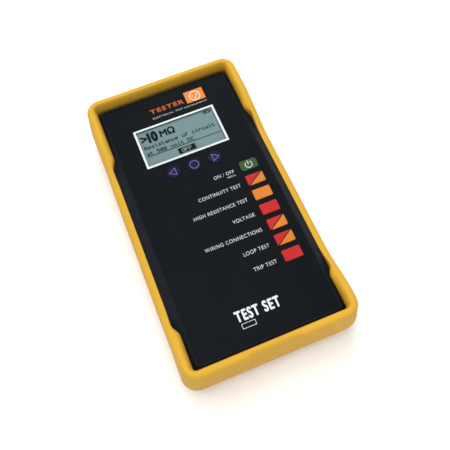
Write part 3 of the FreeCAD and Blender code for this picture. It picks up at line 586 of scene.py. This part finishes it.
def outer_ring(level, inset=0.0, rise=0.0):
    """A ring of the outer wall, moved in and up from a height."""
    return Ring(wall(level, BELLY_W, RIM_LEAN_W) - inset, wall(level, BELLY_L, RIM_LEAN_L) - inset,
                TOP_CORNER - inset, BOTTOM_CORNER - inset, level + rise)


def holster_section(top, outer_round, mouth_w, crest_w, crest_drop, lip_level, shoulder):
    """Rings of the wall from the back window round the outside, over the rim and down the inside."""
    back = (WINDOW_W, WINDOW_L, WINDOW_CORNER, WINDOW_CORNER)
    rings = [Ring(*back, 0.0)]
    for across, down in reversed(quarter(FOOT_ROUND, FOOT_ROUND, FOOT_STEPS)):
        rings.append(outer_ring(FOOT_ROUND, FOOT_ROUND - across, -down))
    start = top - outer_round
    rings += [outer_ring(lerp(FOOT_ROUND, start, step / WALL_STEPS)) for step in range(1, WALL_STEPS)]
    for across, rise in quarter(outer_round, outer_round, OUTER_STEPS):
        rings.append(outer_ring(start, outer_round - across, rise))
    for step in range(INNER_STEPS + 1):
        angle = math.radians(90 * step / INNER_STEPS)
        share, drop = 1 - math.sin(angle), crest_drop * (1 - math.cos(angle))
        corner = MOUTH_CORNER + crest_w * share
        rings.append(Ring(mouth_w + crest_w * share, MOUTH_L + CREST_L * share, corner, corner, top - drop))
    rings.append(Ring(mouth_w, MOUTH_L, MOUTH_CORNER, MOUTH_CORNER, lip_level))
    case = (SHELL_HIGH.x + CASE_GAP, SHELL_HIGH.y + CASE_GAP, CASE_CORNER, CASE_CORNER)
    return rings + [Ring(*case, shoulder), Ring(*case, CASE_BACK), Ring(*back, CASE_BACK - CASE_GAP)]


def low_share(y, above, below):
    """1 along the middle of a side and 0 past the two ramps."""
    short_of_top = 1 - ease((y - above[0]) / (above[1] - above[0]))
    short_of_bottom = 1 - ease((y - below[0]) / (below[1] - below[0]))
    return short_of_top * short_of_bottom


def notch(x, z):
    """How far the lower end is set back for the thumb."""
    across = 1 - ease((abs(x) - NOTCH_HALF + NOTCH_RAMP / 2) / NOTCH_RAMP)
    return NOTCH_DEPTH * across * ease((z - NOTCH_FADE[0]) / (NOTCH_FADE[1] - NOTCH_FADE[0]))


def side_point(side, y, high_ring, low_ring, inside, on_lip):
    """Half width and height of a ring at a place along a side, between its high and low forms.

    The width steps with the lip from the crest inwards, and the height from the lip inwards."""
    rim_share = low_share(y, RISE_ABOVE, RISE_BELOW)
    lip_share = low_share(y, LIP_ABOVE[side], LIP_BELOW[side])
    return (lerp(high_ring.w, low_ring.w, lip_share if inside else rim_share),
            lerp(high_ring.z, low_ring.z, lip_share if on_lip else rim_share))


def holster_point(plan, station, high_ring, low_ring, inside, on_lip):
    """The place of a ring at a station; inside is from the crest inwards, on_lip from the lip inwards."""
    w, z = high_ring.w, high_ring.z
    if station[0] in ("left", "right"):
        y = plan.point(station, BELLY_W, BELLY_L, TOP_CORNER, BOTTOM_CORNER)[1]
        w, z = side_point(station[0], y, high_ring, low_ring, inside, on_lip)
    x, y = plan.point(station, w, high_ring.l, high_ring.top_corner, high_ring.bottom_corner)
    if station[0] == "bottom" and not inside:
        y += notch(x, z)
    return x, y, z


def holster():
    """Rubber holster: one closed skin, high round the ends and low along the sides."""
    plan = Plan()
    high = holster_section(RIM, OUTER_ROUND, MOUTH_W, CREST_W, CREST_DROP, LIP_LEVEL, SHOULDER)
    low = holster_section(LOW_RIM, LOW_ROUND, LOW_MOUTH, LOW_CREST, LOW_DROP,
                          SHOULDER + LOW_LIP_RISE, SHOULDER - LOW_SHOULDER_DROP)
    lip = len(high) - 1 - RINGS_PAST_LIP
    crest = lip - INNER_STEPS - 1
    vertices = []
    for index, (high_ring, low_ring) in enumerate(zip(high, low)):
        shift = MOUTH_SHIFT if crest <= index <= lip else 0.0
        for station in plan.stations:
            x, y, z = holster_point(plan, station, high_ring, low_ring, index >= crest, index >= lip)
            vertices.append((x, y + shift, z))
    faces = strip_faces(len(high), len(plan.stations))
    item = add_piece("holster_skin", vertices, faces, INSTRUMENT, FINISH["holster_rubber"],
                     HOLSTER_SMOOTH)
    carve(item, [socket_window_tool()])
    return item


def socket_window_tool():
    """A rounded slot through the end wall, flared where it meets the outside."""
    near, mouth, far = SHELL_HIGH.y - TOOL_REACH, BELLY_L - SOCKET_MOUTH_DEPTH, BELLY_L + TOOL_REACH
    rings = [(near, 0.0), (mouth, 0.0), (far, far - mouth)]
    points = []
    for y, flare in rings:
        w, h, radius = SOCKET_WINDOW_W + flare, SOCKET_WINDOW_H + flare, SOCKET_WINDOW_CORNER + flare
        for turn, (side, end) in enumerate(((1, 1), (-1, 1), (-1, -1), (1, -1))):
            corner = circle(side * (w - radius), end * (h - radius), radius, SOCKET_CORNER_STEPS,
                            90 * turn, 90 * turn + 90)
            points += [(x, y, SOCKET_LEVEL + z) for x, z in corner]
    count = len(points) // len(rings)
    faces = [tuple(reversed(face)) for face in strip_faces(len(rings), count, closed_rows=False)]
    faces += [tuple(range(count)), tuple(reversed(range(len(points) - count, len(points))))]
    return scratch_object("socket_window_tool", points, faces)


# ---------------------------------------------------------------- display

GLYPHS = {
    "R": "####. #...# #...# ####. #.#.. #..#. #...#",
    "C": ".###. #...# #.... #.... #.... #...# .###.",
    "D": "####. #...# #...# #...# #...# #...# ####.",
    "O": ".###. #...# #...# #...# #...# #...# .###.",
    "F": "##### #.... #.... ####. #.... #.... #....",
    "0": ".###. #...# #..## #.#.# ##..# #...# .###.",
    "5": "##### #.... ####. ....# ....# #...# .###.",
    "a": "..... ..... .###. ....# .#### #...# .####",
    "c": "..... ..... .###. #.... #.... #...# .###.",
    "e": "..... ..... .###. #...# ##### #.... .###.",
    "f": "..##. .#..# .#... ###.. .#... .#... .#...",
    "i": "..#.. ..... .##.. ..#.. ..#.. ..#.. .###.",
    "l": ".##.. ..#.. ..#.. ..#.. ..#.. ..#.. .###.",
    "n": "..... ..... #.##. ##..# #...# #...# #...#",
    "o": "..... ..... .###. #...# #...# #...# .###.",
    "r": "..... ..... #.##. ##..# #.... #.... #....",
    "s": "..... ..... .#### #.... .###. ....# ####.",
    "t": ".#... .#... ###.. .#... .#... .#..# ..##.",
    "u": "..... ..... #...# #...# #...# #..## .##.#",
    "v": "..... ..... #...# #...# #...# .#.#. ..#..",
}


GLYPH_STEP = 6  # dots from one letter to the next
INK_LIFT = 0.01
READING = (  # text, left, right, line, cap height, weight
    (">", -25.8, -21.8, 57.5, 6.6, 0.35),
    ("10", -20.6, -14.9, 57.1, 7.4, 0.62),
    ("MΩ", -12.5, -2.6, 58.3, 5.0, 0.3),
)
DOT_LINES_LEFT = -25.6
DOT_LINES = (("Resistance of circuit", 55.1), ("at 500 volt DC", 50.4))  # text and top
RULE_BOX = (-25.6, 25.6, 46.6, 47.15)
WORD_BOX = (-5.8, 6.1, 40.9, 45.2)
BOXED_WORD, WORD_MIDDLE, WORD_TOP = "OFF", 0.15, 44.4
BATTERY_BOX, BATTERY_LINE = (19.6, 24.2, 63.7, 66.1), 0.6
BATTERY_CHARGE, BATTERY_TIP = (20.8, 22.2, 64.5, 65.3), (24.2, 25.1, 64.4, 65.4)


def dot_words(layer, text, x, y):
    """Five by seven dot letters whose top left corner is at x, y. Every run of dots bleeds outwards,
    and odd rows lie a little higher, so that no two faces lie in one plane."""
    for place, letter in enumerate(text):
        for row, line in enumerate(GLYPHS.get(letter, "").split()):
            top = y - row * DOT
            for run in re.finditer("#+", line):
                left = x + (place * GLYPH_STEP + run.start() - DOT_SPREAD) * DOT
                right = x + (place * GLYPH_STEP + run.end() + DOT_SPREAD) * DOT
                layer.box(left, right, top - (1 + DOT_SPREAD) * DOT, top + DOT_SPREAD * DOT,
                          COPY_STEP * (row % 2))


def display_content():
    """Reading, two lines of text, rule, battery mark and a boxed word on the liquid crystal cell."""
    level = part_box("display_glass")[1].z / MM
    ink_layer = Print(level + INK_LIFT)
    for text, left, right, line, height, weight in READING:
        ink_layer.words(text, left, right, line, height, weight=weight)
    for text, top in DOT_LINES:
        dot_words(ink_layer, text, DOT_LINES_LEFT, top)
    ink_layer.box(*RULE_BOX)
    ink_layer.box(*WORD_BOX)
    ink_layer.frame(*BATTERY_BOX, BATTERY_LINE)
    ink_layer.box(*BATTERY_CHARGE)
    ink_layer.box(*BATTERY_TIP)
    ink_layer.piece("display_ink", INSTRUMENT, LCD_INK)
    clear_layer = Print(level + INK_LIFT + Print.THICKNESS)
    half_width = len(BOXED_WORD) * GLYPH_STEP / 2 * DOT
    dot_words(clear_layer, BOXED_WORD, WORD_MIDDLE - half_width, WORD_TOP)
    clear_layer.piece("display_clear_word", INSTRUMENT, FINISH["display_glass"])


# ---------------------------------------------------------------- panel prints

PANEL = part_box("keypad_overlay")[1].z / MM


def key_middle(node):
    """The middle of a key and the height of its top."""
    low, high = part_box(node)
    return (low.x + high.x) / 2 / MM, (low.y + high.y) / 2 / MM, high.z / MM


LABELS = (
    ("key_power", "ON / OFF"),
    ("key_test_1", "CONTINUITY TEST"),
    ("key_test_2", "HIGH RESISTANCE TEST"),
    ("key_test_3", "VOLTAGE"),
    ("key_test_4", "WIRING CONNECTIONS"),
    ("key_test_5", "LOOP TEST"),
    ("key_test_6", "TRIP TEST"),
)
LABEL_END, LABEL_DROP, HINT_DROP = 21.3, 2.0, 4.3  # right ends, and from a key's middle to the line
LABEL_STYLE = {"height": 2.45, "stretch": 0.86, "spacing": 1.12, "thinning": 0.006}
HINT_STYLE = {"height": 1.1, "stretch": 0.85}
SUBTITLE_PLACE, SUBTITLE_STYLE = (-12.8, 25.8, 72.5), {"height": 1.15, "thinning": 0.012}
HEADING_PLACE, HEADING_STYLE = (-12.8, 10.6, 77.0), {"height": 3.2, "weight": 0.16, "spacing": 1.2}
TITLE_PLACE, TITLE_STYLE = (-13.9, 12.8, -76.7), {"height": 6.2, "weight": 0.3, "spacing": 1.22}
TILE_BOX = (12.6, 25.8, 75.4, 84.8)
EMPTY_BOX, EMPTY_BOX_LINE = (-12.5, -4.1, -81.4, -78.3), 0.3
BORDER_BOX, BORDER_LINE = (-28.7, 27.6, 37.7, 68.1), 1.4
SOCKET_MARK, SOCKET_MARK_OUTER, SOCKET_MARK_INNER = (19.2, 79.8), 3.9, 3.3
SOCKET_PINS, PIN_RADIUS, PIN_STEPS = ((17.7, 80.1), (20.7, 80.1), (19.2, 78.1)), 0.62, 20


def panel_labels():
    """A plain function name to the left of each key, a hint at the power key and the subtitle."""
    layer = Print(PANEL)
    for node, text in LABELS:
        layer.words(text, None, LABEL_END, key_middle(node)[1] - LABEL_DROP, **LABEL_STYLE)
    layer.words("HOLD 2 s", None, LABEL_END, key_middle("key_power")[1] - HINT_DROP, **HINT_STYLE)
    layer.words("ELECTRICAL TEST INSTRUMENT", *SUBTITLE_PLACE, **SUBTITLE_STYLE)
    layer.piece("panel_labels", INSTRUMENT, INK_LABEL)


def panel_heading():
    """Heading above the display, and the tile beside it."""
    heading = Print(PANEL)
    heading.words("TESTER", *HEADING_PLACE, **HEADING_STYLE)
    heading.piece("panel_heading", INSTRUMENT, INK_HEADING)
    tile = Print(PANEL)
    tile.box(*TILE_BOX)
    tile.piece("panel_tile", INSTRUMENT, INK_TILE)


def panel_title():
    """Title near the lower end, with an empty box below it."""
    white = Print(PANEL)
    white.words("TEST SET", *TITLE_PLACE, **TITLE_STYLE)
    white.frame(*EMPTY_BOX, EMPTY_BOX_LINE)
    white.piece("panel_white_print", INSTRUMENT, INK_WHITE)


def panel_socket_mark():
    """Plain three pin mark on the tile."""
    icon = Print(PANEL + Print.THICKNESS)
    icon.ring(circle(*SOCKET_MARK, SOCKET_MARK_OUTER), circle(*SOCKET_MARK, SOCKET_MARK_INNER))
    for x, y in SOCKET_PINS:
        icon.slab(circle(x, y, PIN_RADIUS, PIN_STEPS))
    icon.piece("panel_socket_mark", INSTRUMENT, INK_WHITE)


def display_border():
    border = Print(PANEL)
    border.frame(*BORDER_BOX, BORDER_LINE)
    border.piece("display_border", INSTRUMENT, INK_WHITE)


ARROWS = (("key_left", 180.0), ("key_right", 0.0))  # node and the way that its arrow points, in degrees
ARROW_OUTER, ARROW_INNER = 3.3, 2.5
SELECT_OUTER, SELECT_INNER = 3.0, 2.6
POWER_OUTER, POWER_INNER, POWER_DROP = 2.45, 2.0, 0.2
POWER_STEPS, POWER_START, POWER_END = 40, -235, 55
POWER_BAR_HALF, POWER_BAR_LOW, POWER_BAR_HIGH = 0.22, 0.1, 2.7


def cursor_marks():
    """Arrows and a ring on the round cursor keys, which move with their caps."""
    for node, start in ARROWS:
        x, y, level = key_middle(node)
        layer = Print(level)
        layer.ring(polygon(x, y, ARROW_OUTER, 3, start), polygon(x, y, ARROW_INNER, 3, start))
        layer.piece(f"{node}_mark", f"{node}_cap", INK_LAVENDER)
    x, y, level = key_middle("key_select")
    layer = Print(level)
    layer.ring(circle(x, y, SELECT_OUTER), circle(x, y, SELECT_INNER))
    layer.piece("key_select_mark", "key_select_cap", INK_LAVENDER)


def power_mark():
    """Power symbol on the green key, which moves with its cap."""
    x, y, level = key_middle("key_power")
    layer = Print(level)
    outer = circle(x, y - POWER_DROP, POWER_OUTER, POWER_STEPS, POWER_START, POWER_END)
    inner = circle(x, y - POWER_DROP, POWER_INNER, POWER_STEPS, POWER_START, POWER_END)
    layer.slab(outer + inner[::-1])
    layer.box(x - POWER_BAR_HALF, x + POWER_BAR_HALF, y - POWER_BAR_LOW, y + POWER_BAR_HIGH)
    layer.piece("key_power_mark", "key_power_cap", INK_WHITE)


# ---------------------------------------------------------------- screws

SCREW_STEPS = 32
SCREW_SMOOTH = 35     # degrees, up to which an edge of a screw is shaded smooth
HEAD_RADIUS, HEAD_HEIGHT, HEAD_ROUND = 2.7, 0.75, 0.3
HEAD_EDGE = 0.09      # how far the middle of the head's round lies from both of its faces
THREAD_RADIUS, THREAD_CORE, THREAD_PITCH, THREAD_LENGTH = 1.45, 1.2, 0.6, 7.0
CROSS_ARM, CROSS_HALF_WIDTH, CROSS_DEPTH, CROSS_PAST = 1.5, 0.32, 0.5, 0.1
TAPER = 0.6           # width of the cross at its bottom, and of the shank at its tip, as a share


def lathe(profile, x, y):
    """A closed solid turned about the vertical through x, y: radius and height pairs, from axis to axis."""
    points, faces = [], []
    for radius, z in profile[1:-1]:
        points += [(px, py, z) for px, py in circle(x, y, radius, SCREW_STEPS)]
    faces += strip_faces(len(profile) - 2, SCREW_STEPS, closed_rows=False)
    ends = ((profile[0], 0, True), (profile[-1], (len(profile) - 3) * SCREW_STEPS, False))
    for (_, z), first, turned in ends:
        points.append((x, y, z))
        for step in range(SCREW_STEPS):
            pair = (first + step, first + (step + 1) % SCREW_STEPS)
            faces.append((len(points) - 1, *(reversed(pair) if turned else pair)))
    return points, faces


def screw_profile(level):
    """Pan head whose top faces down at the given height, with a ridged shank above it."""
    top = level + HEAD_HEIGHT
    profile = [(0, level), (HEAD_RADIUS - HEAD_ROUND, level), (HEAD_RADIUS - HEAD_EDGE, level + HEAD_EDGE),
               (HEAD_RADIUS, level + HEAD_ROUND), (HEAD_RADIUS, top), (THREAD_CORE, top)]
    turns = int((THREAD_LENGTH - HEAD_HEIGHT) / THREAD_PITCH) - 1
    for turn in range(turns):
        start = top + THREAD_PITCH * turn
        profile += [(THREAD_RADIUS, start + THREAD_PITCH / 2), (THREAD_CORE, start + THREAD_PITCH)]
    tip = level + THREAD_LENGTH
    return profile + [(THREAD_CORE * TAPER, tip), (0, tip)]


def cross_tool(x, y, level):
    """Tapered cross that is pressed into a screw's head."""
    arm = ((CROSS_HALF_WIDTH, -CROSS_HALF_WIDTH), (CROSS_ARM, -CROSS_HALF_WIDTH),
           (CROSS_ARM, CROSS_HALF_WIDTH))
    outline = []
    for turn in range(4):
        angle = math.radians(90 * turn)
        for along, across in arm:
            outline.append((along * math.cos(angle) - across * math.sin(angle),
                            along * math.sin(angle) + across * math.cos(angle)))
    count = len(outline)
    points = [(x + px, y + py, level - CROSS_PAST) for px, py in outline]
    points += [(x + px * TAPER, y + py * TAPER, level + CROSS_DEPTH) for px, py in outline]
    faces = strip_faces(2, count, closed_rows=False)
    faces += [tuple(reversed(range(count))), tuple(range(count, 2 * count))]
    return scratch_object("cross_tool", points, faces)


def door_screws():
    """Four pan head screws with cross recesses, which stay in the battery door."""
    low, high = (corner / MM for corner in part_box("door_screws"))
    points, faces, tools = [], [], []
    for x in (low.x + HEAD_RADIUS, high.x - HEAD_RADIUS):
        for y in (low.y + HEAD_RADIUS, high.y - HEAD_RADIUS):
            turned, turned_faces = lathe(screw_profile(low.z), x, y)
            faces += [tuple(len(points) + index for index in face) for face in turned_faces]
            points += turned
            tools.append(cross_tool(x, y, low.z))
    item = add_piece("door_screw_set", points, faces, "door", FINISH["screw_steel"],
                     SCREW_SMOOTH)
    carve(item, tools)
    return item


# ---------------------------------------------------------------- stage

FLOOR_HALF, FLOOR_LEVEL = 3.0, -0.0001  # the floor lies just under the object, so that no faces meet
PAPER = (0.9, 0.9, 0.9)
WORLD_COLOUR, WORLD_STRENGTH = (1, 1, 1, 1), 0.48
LIGHTS = (  # name, place in metres, size and energy; each points at the origin
    ("top", (-0.15, -0.05, 1.1), 0.9, 10),
    ("front", (0.1, -1.0, 0.45), 0.4, 1.0),
    ("back", (0.25, 0.75, 0.85), 0.6, 4),
)
CAMERA_PLACE, CAMERA_TARGET = (-39.1, -159.1, 350.2), (2.1, -17.9, 34.0)
CAMERA_ROLL = -6.3  # degrees
LENS, SENSOR = 46.13, 36


def area_light(name, place, size, energy):
    lamp = bpy.data.lights.new(name, "AREA")
    lamp.size = size
    lamp.energy = energy
    item = bpy.data.objects.new(name, lamp)
    item.location = place
    item.rotation_euler = (-Vector(place)).to_track_quat("-Z", "Y").to_euler()
    bpy.context.scene.collection.objects.link(item)


def stage():
    """Pale floor, soft lights and an even white world."""
    mesh = bpy.data.meshes.new("floor")
    outline = corners(-FLOOR_HALF, FLOOR_HALF, -FLOOR_HALF, FLOOR_HALF)
    mesh.from_pydata([(x, y, FLOOR_LEVEL) for x, y in outline], [], [(0, 1, 2, 3)])
    floor = bpy.data.objects.new("floor", mesh)
    paper = Finish("paper", PAPER, 0.9)
    mesh.materials.append(paper.vary(scale=3, amount=0.01).material)
    bpy.context.scene.collection.objects.link(floor)
    world = bpy.data.worlds.new("studio")
    world.use_nodes = True
    background = world.node_tree.nodes["Background"]
    background.inputs["Color"].default_value = WORLD_COLOUR
    background.inputs["Strength"].default_value = WORLD_STRENGTH
    bpy.context.scene.world = world
    for light in LIGHTS:
        area_light(*light)


def camera():
    lens = bpy.data.cameras.new("camera")
    lens.lens = LENS
    lens.sensor_width = SENSOR
    item = bpy.data.objects.new("camera", lens)
    place = Vector(CAMERA_PLACE) * MM
    target = Vector(CAMERA_TARGET) * MM
    turn = (target - place).to_track_quat("-Z", "Y").to_matrix().to_4x4()
    item.matrix_world = Matrix.Translation(place) @ turn @ Matrix.Rotation(math.radians(CAMERA_ROLL), 4, "Z")
    bpy.context.scene.collection.objects.link(item)
    bpy.context.scene.camera = item
    bpy.context.scene.view_settings.view_transform = "Standard"


dress_nodes()
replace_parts(holster(), "holster")
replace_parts(door_screws(), "door_screws")
display_content()
panel_labels()
panel_heading()
panel_title()
panel_socket_mark()
display_border()
cursor_marks()
power_mark()
stage()
camera()
